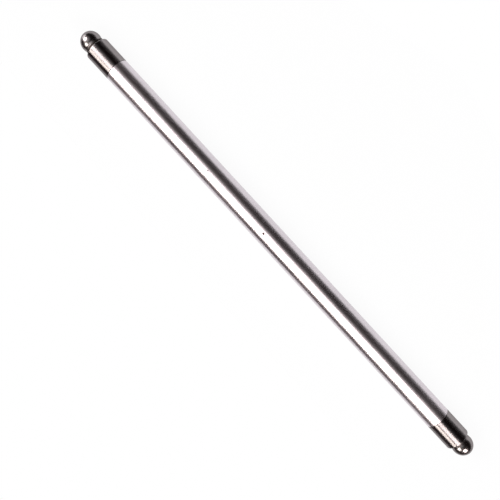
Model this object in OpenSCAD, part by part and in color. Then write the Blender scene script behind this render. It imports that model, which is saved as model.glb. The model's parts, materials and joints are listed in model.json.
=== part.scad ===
// Engine pushrod: a drawn aluminium tube with a turned steel ball end pressed into each end.
// The rod lies along +X, the centre of the lower ball is the origin, and +Z is up.

/* [Rod] */
// Distance between the centres of the two balls
ball_span = 201; // [150:0.5:300]
// Outside diameter of the tube, which the collars share
tube_od = 9.525; // [8.6:0.005:12.7]
// Wall thickness of the tube
tube_wall = 1.65; // [1.2:0.05:2.2]
// Chamfer inside each mouth of the tube's bore
mouth_chamfer = 0.4; // [0.2:0.05:0.6]
// Chamfer on each side of the line where tube and collar meet
joint_chamfer = 0.1; // [0.05:0.01:0.3]

/* [Ball ends] */
// Diameter of the ball
ball_d = 7.94; // [6:0.01:8.4]
// Distance from the lower ball's centre to its collar's shoulder
lower_neck_length = 2.4; // [1.6:0.05:5]
// Distance from the upper ball's centre to its collar's shoulder
upper_neck_length = 3.0; // [1.6:0.05:5]
// Depth of the neck below the ball's surface
neck_relief = 0.2; // [0.1:0.05:1]
// Fillet in the corner between neck and shoulder
neck_fillet = 0.25; // [0.1:0.05:0.5]
// Length of the collar, from its shoulder to the tube
collar_length = 10.9; // [4:0.1:20]
// Round on the collar's shoulder edge
shoulder_round = 0.5; // [0.1:0.05:1]

/* [Press fit] */
// Length of the shank inside the tube
shank_length = 12; // [6:0.5:20]
// Chamfer that leads the shank into the bore
shank_lead = 0.5; // [0.2:0.05:0.6]
// Radial clearance between the shank and the bore that holds it
fit_clearance = 0.01; // [0.005:0.005:0.05]

/* [Oil way] */
// Diameter of the drilling along the shank
drilling_d = 3; // [2:0.1:3.6]
// Distance from the shoulder to where the drilling's full diameter ends
drilling_stop = 2; // [1:0.1:4]
// Angle of the drill's point
drill_point = 118; // [90:1:140]
// Diameter of the oil hole through the ball's nose
oil_hole_d = 1.6; // [1:0.1:1.9]
// Chamfer round the mouth of the oil hole
oil_hole_chamfer = 0.2; // [0.05:0.05:0.4]

/* [Hidden] */
$fn = 96;

// Radii
tube_r = tube_od / 2;
bore_r = tube_r - tube_wall;
shank_r = bore_r - fit_clearance;
ball_r = ball_d / 2;
neck_r = ball_r - neck_relief;
drilling_r = drilling_d / 2;
oil_hole_r = oil_hole_d / 2;

// The fillet and the round share the step from neck to collar, with some flat left between them
shoulder_step = tube_r - neck_r;
fillet_r = min(neck_fillet, 0.4 * shoulder_step);
round_r = min(shoulder_round, 0.55 * shoulder_step);

// The oil hole's mouth, along the rod from the ball's centre
oil_mouth_r = oil_hole_r + oil_hole_chamfer;
oil_mouth = -sqrt(ball_r * ball_r - oil_mouth_r * oil_mouth_r);
chamfer_root = oil_mouth + oil_hole_chamfer;

// Places along a ball end, from its shoulder towards the tube
shank_end = collar_length + shank_length;
point_end = drilling_stop - (drilling_r - oil_hole_r) / tan(drill_point / 2);

tube_start = lower_neck_length + collar_length;
tube_length = ball_span - tube_start - upper_neck_length - collar_length;

// How far a cut runs past the face that it opens
past = 1;

// Colours
satin_aluminium = [0.80, 0.79, 0.80];
polished_steel = [0.46, 0.45, 0.44];

// Half sections: x is the radius and y runs along the rod, from the ball's centre where a neck
// length is given, and from the shoulder or the tube's end where it isn't

module ball_section() {
    intersection() {
        circle(ball_r);
        translate([0, -ball_r]) square([ball_r, 2 * ball_r]);
    }
}

module neck_section(neck_length) {
    square([neck_r, neck_length + round_r]);
    translate([0, neck_length - fillet_r]) difference() {
        square([neck_r + fillet_r, fillet_r + round_r]);
        translate([neck_r + fillet_r, 0]) circle(fillet_r);
    }
}

module collar_section() {
    square([tube_r - round_r, collar_length]);
    translate([tube_r - round_r, round_r]) circle(round_r);
    polygon([
        [0, round_r],
        [tube_r, round_r],
        [tube_r, collar_length - joint_chamfer],
        [tube_r - joint_chamfer, collar_length],
        [0, collar_length]
    ]);
}

module shank_section() {
    polygon([
        [0, 0],
        [shank_r, 0],
        [shank_r, shank_end - shank_lead],
        [shank_r - shank_lead, shank_end],
        [0, shank_end]
    ]);
}

module oil_way_section(neck_length) {
    polygon([
        [0, -ball_r - past],
        [oil_hole_r + chamfer_root + ball_r + past, -ball_r - past],
        [oil_hole_r, chamfer_root],
        [oil_hole_r, neck_length + point_end],
        [drilling_r, neck_length + drilling_stop],
        [drilling_r, neck_length + shank_end + past],
        [0, neck_length + shank_end + past]
    ]);
}

module tube_section() {
    polygon([
        [bore_r + mouth_chamfer, 0],
        [tube_r - joint_chamfer, 0],
        [tube_r, joint_chamfer],
        [tube_r, tube_length - joint_chamfer],
        [tube_r - joint_chamfer, tube_length],
        [bore_r + mouth_chamfer, tube_length],
        [bore_r, tube_length - mouth_chamfer],
        [bore_r, mouth_chamfer]
    ]);
}

// Turns a half section round the rod's axis
module turned() {
    rotate([0, 90, 0]) rotate_extrude() children();
}

// A ball end with its ball at the origin and its shank towards +X
module ball_end(neck_length) {
    turned() difference() {
        union() {
            ball_section();
            neck_section(neck_length);
            translate([0, neck_length]) {
                collar_section();
                shank_section();
            }
        }
        oil_way_section(neck_length);
    }
}

module tube() {
    color(satin_aluminium) translate([tube_start, 0, 0]) turned() tube_section();
}

module lower_ball_end() {
    color(polished_steel) ball_end(lower_neck_length);
}

module upper_ball_end() {
    color(polished_steel) translate([ball_span, 0, 0]) mirror([1, 0, 0]) ball_end(upper_neck_length);
}

tube();
lower_ball_end();
upper_ball_end();
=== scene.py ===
import json
import math

import bpy
from mathutils import Matrix, Vector


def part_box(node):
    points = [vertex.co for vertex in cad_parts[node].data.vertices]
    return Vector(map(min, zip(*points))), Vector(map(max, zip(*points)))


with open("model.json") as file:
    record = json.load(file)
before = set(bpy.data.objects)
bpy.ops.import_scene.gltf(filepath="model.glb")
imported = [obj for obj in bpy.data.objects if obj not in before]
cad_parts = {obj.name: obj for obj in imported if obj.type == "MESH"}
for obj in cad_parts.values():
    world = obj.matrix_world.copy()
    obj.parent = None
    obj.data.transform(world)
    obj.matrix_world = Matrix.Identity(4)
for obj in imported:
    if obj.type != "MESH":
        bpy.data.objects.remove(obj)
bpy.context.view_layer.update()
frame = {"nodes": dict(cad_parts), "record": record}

MM = 0.001
WHITE = (1, 1, 1, 1)

# The rod in metres: the distance between its balls, its middle, and the tube
MOUNTS = {mount["name"]: mount for mount in frame["record"]["mounts"]}
SPAN = MOUNTS["upper_ball"]["pos_m"][0]
MIDDLE = Vector((SPAN / 2, 0, 0))
TUBE_LOW, TUBE_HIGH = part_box("tube")
TUBE_MIDDLE = (TUBE_LOW.x + TUBE_HIGH.x) / 2

# Distances in millimetres from the tube's middle to each joint line and to each shoulder
SHOULDER_ROUND = 0.5
JOINT = (TUBE_HIGH.x - TUBE_MIDDLE) / MM
SHOULDER = MOUNTS["guide"]["dims"]["length_mm"] / 2 + SHOULDER_ROUND

# Directions along the rod to its lower ball, back along the camera's line of sight, and across both
ELEVATION = math.radians(71)
ALONG = Vector((-1, 0, 0))
TOWARDS = Vector((0, -math.cos(ELEVATION), math.sin(ELEVATION)))
ACROSS = TOWARDS.cross(ALONG)

# The camera's place in millimetres in those directions, and how far right and down the rod runs in the
# picture for each unit of its length
CAMERA_PLACE = (-4.8, -8.93, 222.4)
ROD_RIGHT = 0.67771
ROD_DOWN = 0.73533
SENSOR_WIDTH = 36
LENS = 43.56
CLIP_START = 0.005
CLIP_END = 20

# Corners of the white sheet under the rod in metres, its colour, and the share of plain white in what
# the camera, metal and glass show of it
FLOOR = (
    (-0.050, -0.047),
    (0.100, -0.085),
    (0.260, -0.047),
    (0.500, -0.047),
    (0.500, 0.000),
    (0.240, 0.035),
    (-0.012, 0.035),
    (-0.050, -0.010),
)
FLOOR_COLOUR = (0.50, 0.517, 0.555, 1)
FLOOR_GLOW = 0.95

# Heights of a line of sight between which the white table ends and the dark studio starts
TABLE_EDGE = (-0.22, -0.15)
# The studio's colour, and its walls: colour, and the heights and depths of a line of sight between which
# each wall fades
STUDIO_DARK = (0.0086, 0.0043, 0.0043, 1)
WALLS = (
    ((0.043, 0.0143, 0.0229, 1), (0.05, 0.35), (0.2, 0.6)),
    ((0.129, 0.121, 0.121, 1), (0.0, 0.15), (-0.2, -0.6)),
)
# Soft light on the dark: direction, radiance, and the degrees from it between which it fades
GLOWS = (
    ((-0.460, -0.360, 0.811), 0.76, 5, 44),
    ((-0.975, -0.200, 0.060), 2.8, 8, 23),
)
# Each lamp's direction, half angles in degrees along the rod and across it, radiance and colour
LAMP_DISTANCE = 2.0
LAMPS = (
    ("lamp_behind", (0.010, -0.865, 0.502), (18.5, 12.2), 8.7, (1.0, 0.95, 0.87)),
    ("lamp_behind_rim", (0.010, -0.870, 0.493), (26.0, 17.5), 1.6, (1.0, 0.95, 0.87)),
    ("lamp_lower_end", (0.782, -0.310, 0.535), (13.4, 13.4), 17.6, (1.0, 0.92, 0.88)),
    ("lamp_upper_end", (-0.750, -0.385, 0.538), (14.5, 14.5), 14.4, (1.0, 0.94, 0.92)),
)

# Tones and gloss of the tube
ALUMINIUM = (0.78, 0.722, 0.762, 1)
ALUMINIUM_LOW = (0.682, 0.628, 0.664, 1)
TUBE_METALLIC = 0.98
TUBE_ROUGH = 0.43
TUBE_ANISO = 0.90
TUBE_ANISO_SWING = 0.02

# Tones and gloss of the ball ends
STEEL = (0.325, 0.298, 0.302, 1)
STEEL_LOW = (0.282, 0.257, 0.26, 1)
STEEL_EDGE = (0.62, 0.60, 0.60, 1)
COLLAR_ROUGH = 0.335
COLLAR_ANISO = 1.0
BALL_ROUGH = 0.23

# Share of a full turn by which the gloss is turned, so that it stretches along the rod
GLOSS_TURN = 0.25

# Grain: features per millimetre along and across the rod, and detail
TUBE_CLOUD = (0.07, 0.07, 4.0)
TUBE_MOTTLE = (0.55, 1.1, 2.0)
TUBE_LINES = (0.04, 3.6, 3.0)
TUBE_RINGS = (11.0, 0.35, 2.0)
STEEL_CLOUD = (0.22, 0.22, 4.0)
STEEL_LINES = (0.05, 3.0, 2.0)
STEEL_RINGS = (7.0, 0.25, 3.0)

# Shares of each grain in the tone, and the sums at which the lower and the higher tone are full
NOISE_MEAN = 0.5
TUBE_TONE = {"cloud": 0.35, "mottle": 0.15, "lines": 0.25, "rings": 0.25}
TUBE_TONE_RANGE = (0.38, 0.62)
STEEL_TONE = {"cloud": 0.45, "rings": 0.55}
STEEL_TONE_RANGE = (0.36, 0.58)

# What each grain and mark adds to the roughness, and the cloud's range for the tube's anisotropy
TUBE_UNEVEN = {"cloud": 0.08, "rings": 0.05, "pits": 0.1}
STEEL_UNEVEN = {"cloud": 0.05, "marks": 0.25}
CLOUD_RANGE = (0.3, 0.7)

# Heights of the relief in millimetres
TUBE_MOTTLE_HEIGHT = 0.016
TUBE_LINE_HEIGHT = 0.003
TUBE_MARK_DEPTH = 0.010
STEEL_LINE_HEIGHT = 0.0012
STEEL_MARK_DEPTH = 0.004

# Scratches: turn, length and width in millimetres, and the noise from which they show
TUBE_SCRATCHES = ((0.0, 0.02, 0.05), 9.0, 0.10, 0.74)
STEEL_SCRATCHES = ((0.1, 0.5, 0.9), 2.5, 0.06, 0.72)
SCRATCH_EDGE = 0.06

# Pits: number per millimetre, radius in millimetres, and the share of the radius that is full
TUBE_PITS = (0.28, 0.13)
STEEL_PITS = (0.45, 0.08)
PIT_CORE = 0.4

# Nicks on the tube: place and radius in millimetres, and depth of tone
NICKS = (
    ((106.3, -0.2, 4.76), 0.46, 1.0),
    ((136.5, -0.8, 4.70), 0.30, 0.9),
)
# A nick's outline, in radii: features, how far it wanders, and where it fades
NICK_FEATURES = 1.2
NICK_WANDER = 1.4
NICK_FADE = (1.5, 2.0)

# Colour of grime and of painted shade, and how much of it each kind of mark holds: the neck groove and
# the inside of the oil hole take it as painted shade
GRIME_AND_SHADE = (0.045, 0.036, 0.032, 1)
TUBE_GRIME = {"scratches": 0.25, "pits": 0.5, "seam": 0.6}
STEEL_GRIME_AND_SHADE = {"scratches": 0.2, "pits": 0.5, "seam": 0.7, "neck": 1.0, "hole": 0.85}

# Where the grime and the painted shade fade, in millimetres: off the joint line, past the shoulder where
# the neck's painted shade starts and ends, and from the axis on the neck and round the oil hole
SEAM_FADE = (0.04, 0.16)
NECK_START = (-0.02, 0.12)
NECK_END = (0.35, 0.85)
NECK_RADII = (3.95, 4.25)
HOLE_RADII = (0.80, 0.86)
# How much further the neck's painted shade reaches on the upper neck, and its share on the lower one
UPPER_NECK_REACH = 0.4
LOWER_NECK_SHARE = 0.5
# Where the collar's finish changes to the ball's, in millimetres past the shoulder
COLLAR_FADE = (-0.5, 0.1)


def seen(along, across, towards):
    """The point that lies so many millimetres from the rod's middle in the camera's directions."""
    return MIDDLE + (ALONG * along + ACROSS * across + TOWARDS * towards) * MM


def make_camera():
    camera = bpy.data.objects.new("camera", bpy.data.cameras.new("camera"))
    bpy.context.scene.collection.objects.link(camera)
    right = ALONG * ROD_RIGHT + ACROSS * ROD_DOWN
    up = ACROSS * ROD_RIGHT - ALONG * ROD_DOWN
    turn = Matrix((right, up, TOWARDS)).transposed()
    camera.matrix_world = Matrix.Translation(seen(*CAMERA_PLACE)) @ turn.to_4x4()
    camera.data.sensor_width = SENSOR_WIDTH
    camera.data.lens = LENS
    camera.data.clip_start = CLIP_START
    camera.data.clip_end = CLIP_END
    bpy.context.scene.camera = camera


class Graph:
    """A node tree, with a short way to add each kind of node."""

    def __init__(self, tree):
        self.tree = tree
        tree.nodes.clear()

    def node(self, kind, **settings):
        made = self.tree.nodes.new(kind)
        for key, value in settings.items():
            setattr(made, key, value)
        return made

    def feed(self, socket, value):
        """Link a socket to another one, or set it to a plain value."""
        if isinstance(value, bpy.types.NodeSocket):
            self.tree.links.new(value, socket)
        else:
            socket.default_value = value

    def mix_shaders(self, factor, first, second):
        made = self.node("ShaderNodeMixShader")
        self.feed(made.inputs[0], factor)
        self.feed(made.inputs[1], first.outputs[0])
        self.feed(made.inputs[2], second.outputs[0])
        return made

    def end(self, kind, shader):
        self.feed(self.node(kind).inputs["Surface"], shader.outputs[0])

    def math(self, operation, a, b=0.0, c=0.0):
        made = self.node("ShaderNodeMath", operation=operation)
        for socket, value in zip(made.inputs, (a, b, c)):
            self.feed(socket, value)
        return made.outputs[0]

    def fold(self, operation, first, *others):
        """Several values brought together by one operation."""
        total = first
        for value in others:
            total = self.math(operation, total, value)
        return total

    def parts(self, shares, values):
        return [self.math("MULTIPLY", values[name], share) for name, share in shares.items()]

    def total(self, shares, **values):
        """The sum of several values, each times its share."""
        return self.fold("ADD", *self.parts(shares, values))

    def strongest(self, shares, **values):
        """The largest of several values, each times its share."""
        return self.fold("MAXIMUM", *self.parts(shares, values))

    def ramp(self, value, low, high, to_low=0.0, to_high=1.0, smooth=False):
        made = self.node("ShaderNodeMapRange")
        if smooth:
            made.interpolation_type = "SMOOTHSTEP"
        for socket, number in zip(made.inputs, (value, low, high, to_low, to_high)):
            self.feed(socket, number)
        return made.outputs[0]

    def fade(self, value, low, high, smooth=False):
        """1 below the low value, 0 above the high one."""
        return self.ramp(value, low, high, 1.0, 0.0, smooth)

    def blend(self, factor, a, b):
        made = self.node("ShaderNodeMix", data_type="RGBA")
        self.feed(made.inputs["Factor"], factor)
        self.feed(made.inputs[6], a)
        self.feed(made.inputs[7], b)
        return made.outputs[2]

    def bump(self, height, millimetres, normal=None):
        made = self.node("ShaderNodeBump")
        self.feed(made.inputs["Height"], height)
        self.feed(made.inputs["Distance"], millimetres * MM)
        if normal is not None:
            self.feed(made.inputs["Normal"], normal)
        return made.outputs[0]

    def background_rays(self):
        """1 for rays from the camera and for rays that metal or glass sends on."""
        path = self.node("ShaderNodeLightPath")
        kinds = ("Is Camera Ray", "Is Glossy Ray", "Is Transmission Ray")
        return self.fold("MAXIMUM", *(path.outputs[kind] for kind in kinds))

    def split(self, vector):
        made = self.node("ShaderNodeSeparateXYZ")
        self.feed(made.inputs[0], vector)
        return tuple(made.outputs)

    def stretched(self, vector, factors):
        made = self.node("ShaderNodeVectorMath", operation="MULTIPLY")
        self.feed(made.inputs[0], vector)
        self.feed(made.inputs[1], factors)
        return made.outputs[0]

    def place(self):
        """The place on the object, in millimetres of its own frame."""
        metres = self.node("ShaderNodeTexCoord").outputs["Object"]
        return self.stretched(metres, (1 / MM, 1 / MM, 1 / MM))

    def from_middle(self, place):
        """The distance along the rod from the tube's middle."""
        x = self.split(place)[0]
        return self.math("ABSOLUTE", self.math("SUBTRACT", x, TUBE_MIDDLE / MM))

    def from_axis(self, place):
        """The distance from the rod's axis."""
        _, y, z = self.split(place)
        squares = self.math("MULTIPLY_ADD", z, z, self.math("MULTIPLY", y, y))
        return self.math("SQRT", squares)

    def noise(self, vector, scale=1.0, detail=2.0):
        made = self.node("ShaderNodeTexNoise")
        self.feed(made.inputs["Vector"], vector)
        self.feed(made.inputs["Scale"], scale)
        self.feed(made.inputs["Detail"], detail)
        return made.outputs[0]

    def grain(self, place, along, across, detail):
        """A noise with its own fineness along the rod and across it."""
        return self.noise(self.stretched(place, (along, across, across)), detail=detail)

    def scratches(self, place, turn, length, width, least):
        """Thin straight marks: a noise drawn out along one direction, of which only the peaks show."""
        made = self.node("ShaderNodeMapping")
        self.feed(made.inputs["Vector"], place)
        self.feed(made.inputs["Rotation"], turn)
        self.feed(made.inputs["Scale"], (1 / length, 1 / width, 1 / width))
        return self.ramp(self.noise(made.outputs[0], detail=0.0), least, least + SCRATCH_EDGE)

    def pits(self, place, scale, radius):
        """Small scattered spots, one in each cell, each 1 at its middle."""
        cells = self.node("ShaderNodeTexVoronoi")
        self.feed(cells.inputs["Vector"], place)
        self.feed(cells.inputs["Scale"], scale)
        edge = radius * scale
        return self.fade(cells.outputs["Distance"], PIT_CORE * edge, edge)

    def nick(self, place, middle, radius, depth):
        """One spot with an uneven outline."""
        apart = self.node("ShaderNodeVectorMath", operation="DISTANCE")
        self.feed(apart.inputs[0], place)
        self.feed(apart.inputs[1], middle)
        outline = self.noise(place, NICK_FEATURES / radius)
        uneven = self.math("MULTIPLY_ADD", outline, NICK_WANDER * radius, apart.outputs["Value"])
        full, none = NICK_FADE
        return self.ramp(uneven, full * radius, none * radius, depth, 0.0, smooth=True)


def new_metal(name):
    """A metal whose gloss stretches along the rod, as polishing round it makes it."""
    material = bpy.data.materials.new(name)
    material.use_nodes = True
    graph = Graph(material.node_tree)
    shader = graph.node("ShaderNodeBsdfPrincipled")
    shader.inputs["Anisotropic Rotation"].default_value = GLOSS_TURN
    graph.feed(shader.inputs["Tangent"], graph.node("ShaderNodeTangent", axis="X").outputs[0])
    graph.end("ShaderNodeOutputMaterial", shader)
    return material, graph, shader


def drawn_aluminium():
    material, graph, shader = new_metal("drawn_aluminium_satin")
    place = graph.place()
    cloud = graph.grain(place, *TUBE_CLOUD)
    mottle = graph.grain(place, *TUBE_MOTTLE)
    lines = graph.grain(place, *TUBE_LINES)
    rings = graph.grain(place, *TUBE_RINGS)
    scratches = graph.scratches(place, *TUBE_SCRATCHES)
    pits = graph.pits(place, *TUBE_PITS)
    near, far = SEAM_FADE
    seam = graph.ramp(graph.from_middle(place), JOINT - far, JOINT - near)

    tone = graph.total(TUBE_TONE, cloud=cloud, mottle=mottle, lines=lines, rings=rings)
    colour = graph.blend(graph.ramp(tone, *TUBE_TONE_RANGE), ALUMINIUM_LOW, ALUMINIUM)
    marks = graph.strongest(TUBE_GRIME, scratches=scratches, pits=pits, seam=seam)
    marks = graph.fold("MAXIMUM", marks, *(graph.nick(place, *nick) for nick in NICKS))
    graph.feed(shader.inputs["Base Color"], graph.blend(marks, colour, GRIME_AND_SHADE))

    shader.inputs["Metallic"].default_value = TUBE_METALLIC
    uneven = graph.total(TUBE_UNEVEN, cloud=cloud, rings=rings, pits=pits)
    even = TUBE_ROUGH - NOISE_MEAN * (TUBE_UNEVEN["cloud"] + TUBE_UNEVEN["rings"])
    graph.feed(shader.inputs["Roughness"], graph.math("ADD", uneven, even))
    most = TUBE_ANISO + TUBE_ANISO_SWING
    least = TUBE_ANISO - TUBE_ANISO_SWING
    graph.feed(shader.inputs["Anisotropic"], graph.ramp(cloud, *CLOUD_RANGE, most, least))

    normal = graph.bump(mottle, TUBE_MOTTLE_HEIGHT)
    normal = graph.bump(lines, TUBE_LINE_HEIGHT, normal)
    normal = graph.bump(graph.math("SUBTRACT", 1.0, marks), TUBE_MARK_DEPTH, normal)
    graph.feed(shader.inputs["Normal"], normal)
    return material


def painted_neck_shade(graph, place, along, off_axis):
    """Painted shade in the neck groove where it meets the shoulder, more of it on the upper neck."""
    upper = graph.ramp(graph.split(place)[0], 0.0, SPAN / MM)
    past = graph.math("SUBTRACT", along, SHOULDER)
    reach = graph.math("SUBTRACT", past, graph.math("MULTIPLY", upper, UPPER_NECK_REACH))
    return graph.fold(
        "MULTIPLY",
        graph.ramp(past, *NECK_START),
        graph.fade(reach, *NECK_END),
        graph.fade(off_axis, *NECK_RADII),
        graph.ramp(upper, 0.0, 1.0, LOWER_NECK_SHARE, 1.0),
    )


def polished_steel():
    material, graph, shader = new_metal("hardened_steel_ground")
    place = graph.place()
    along = graph.from_middle(place)
    off_axis = graph.from_axis(place)
    start, stop = COLLAR_FADE
    collar = graph.fade(along, SHOULDER + start, SHOULDER + stop, smooth=True)
    cloud = graph.grain(place, *STEEL_CLOUD)
    rings = graph.math("MULTIPLY", graph.grain(place, *STEEL_RINGS), collar)
    lines = graph.math("MULTIPLY", graph.grain(place, *STEEL_LINES), collar)
    scratches = graph.scratches(place, *STEEL_SCRATCHES)
    pits = graph.math("MULTIPLY", graph.pits(place, *STEEL_PITS), collar)
    near, far = SEAM_FADE
    seam = graph.fade(along, JOINT + near, JOINT + far)
    # Painted shade: the neck groove is darkened towards the grime colour, as where shade falls
    neck = painted_neck_shade(graph, place, along, off_axis)
    # Painted shade: the inside of the oil hole is darkened towards the grime colour
    hole = graph.fade(off_axis, *HOLE_RADII)

    tone = graph.total(STEEL_TONE, cloud=cloud, rings=rings)
    colour = graph.blend(graph.ramp(tone, *STEEL_TONE_RANGE), STEEL_LOW, STEEL)
    # Real grime on scratches, pits and the joint line; painted shade in the neck groove and the oil hole
    marks = graph.strongest(STEEL_GRIME_AND_SHADE, scratches=scratches, pits=pits, seam=seam, neck=neck, hole=hole)
    graph.feed(shader.inputs["Base Color"], graph.blend(marks, colour, GRIME_AND_SHADE))
    shader.inputs["Specular Tint"].default_value = STEEL_EDGE

    shader.inputs["Metallic"].default_value = 1.0
    rough = graph.ramp(collar, 0.0, 1.0, BALL_ROUGH, COLLAR_ROUGH)
    rough = graph.math("ADD", rough, graph.total(STEEL_UNEVEN, cloud=cloud, marks=marks))
    rough = graph.math("SUBTRACT", rough, NOISE_MEAN * STEEL_UNEVEN["cloud"])
    graph.feed(shader.inputs["Roughness"], rough)
    graph.feed(shader.inputs["Anisotropic"], graph.math("MULTIPLY", collar, COLLAR_ANISO))

    normal = graph.bump(lines, STEEL_LINE_HEIGHT)
    normal = graph.bump(graph.math("SUBTRACT", 1.0, marks), STEEL_MARK_DEPTH, normal)
    graph.feed(shader.inputs["Normal"], normal)
    return material


def make_floor():
    """A sheet under the rod: nearly white to the camera, metal and glass, lit paper to other rays."""
    mesh = bpy.data.meshes.new("floor")
    mesh.from_pydata([(x, y, TUBE_LOW.z) for x, y in FLOOR], [], [range(len(FLOOR))])
    floor = bpy.data.objects.new("floor", mesh)
    bpy.context.scene.collection.objects.link(floor)
    material = bpy.data.materials.new("pale_floor")
    material.use_nodes = True
    graph = Graph(material.node_tree)
    paper = graph.node("ShaderNodeBsdfDiffuse")
    paper.inputs["Color"].default_value = FLOOR_COLOUR
    glow = graph.node("ShaderNodeEmission")
    glow.inputs["Color"].default_value = WHITE
    glow.inputs["Strength"].default_value = 1.0
    share = graph.math("MULTIPLY", graph.background_rays(), FLOOR_GLOW)
    graph.end("ShaderNodeOutputMaterial", graph.mix_shaders(share, paper, glow))
    # The white is for what is seen only, so the sheet is no lamp
    material.cycles.emission_sampling = "NONE"
    mesh.materials.append(material)


def make_world():
    """A dark studio with soft light, over a table that is white to the camera, metal and glass."""
    world = bpy.data.worlds.new("studio")
    bpy.context.scene.world = world
    world.use_nodes = True
    graph = Graph(world.node_tree)
    sight = graph.node("ShaderNodeTexCoord").outputs["Generated"]
    _, depth, height = graph.split(sight)
    colour = STUDIO_DARK
    for wall, heights, depths in WALLS:
        share = graph.math("MULTIPLY", graph.fade(height, *heights), graph.ramp(depth, *depths))
        colour = graph.blend(share, colour, wall)
    for direction, radiance, full, none in GLOWS:
        aim = graph.node("ShaderNodeVectorMath", operation="DOT_PRODUCT")
        graph.feed(aim.inputs[0], sight)
        graph.feed(aim.inputs[1], (seen(*direction) - MIDDLE).normalized())
        angle = graph.math("ARCCOSINE", aim.outputs["Value"])
        glow = graph.fade(angle, math.radians(full), math.radians(none), smooth=True)
        colour = graph.blend(glow, colour, (radiance, radiance, radiance, 1))
    studio = graph.node("ShaderNodeBackground")
    graph.feed(studio.inputs["Color"], colour)
    white = graph.node("ShaderNodeBackground")
    white.inputs["Color"].default_value = WHITE
    table = graph.math("MULTIPLY", graph.background_rays(), graph.fade(height, *TABLE_EDGE))
    graph.end("ShaderNodeOutputWorld", graph.mix_shaders(table, studio, white))


def make_lamp(name, direction, half_angles, radiance, colour):
    """A flat elliptical lamp that faces the rod's middle."""
    wide, high = (2 * LAMP_DISTANCE * math.tan(math.radians(angle)) for angle in half_angles)
    area = math.pi * wide * high / 4
    light = bpy.data.lights.new(name, "AREA")
    light.shape = "ELLIPSE"
    light.size = wide
    light.size_y = high
    light.color = colour
    light.energy = radiance * math.pi * area
    lamp = bpy.data.objects.new(name, light)
    lamp.location = seen(*(Vector(direction).normalized() * LAMP_DISTANCE / MM))
    lamp.rotation_euler = (lamp.location - MIDDLE).to_track_quat("Z", "Y").to_euler()
    bpy.context.scene.collection.objects.link(lamp)


make_camera()
make_world()
make_floor()
for lamp in LAMPS:
    make_lamp(*lamp)

aluminium = drawn_aluminium()
steel = polished_steel()
frame["nodes"]["tube"].material_slots[0].material = aluminium
for name in ("lower_ball_end", "upper_ball_end"):
    frame["nodes"][name].material_slots[0].material = steel

bpy.context.scene.view_settings.view_transform = "Standard"
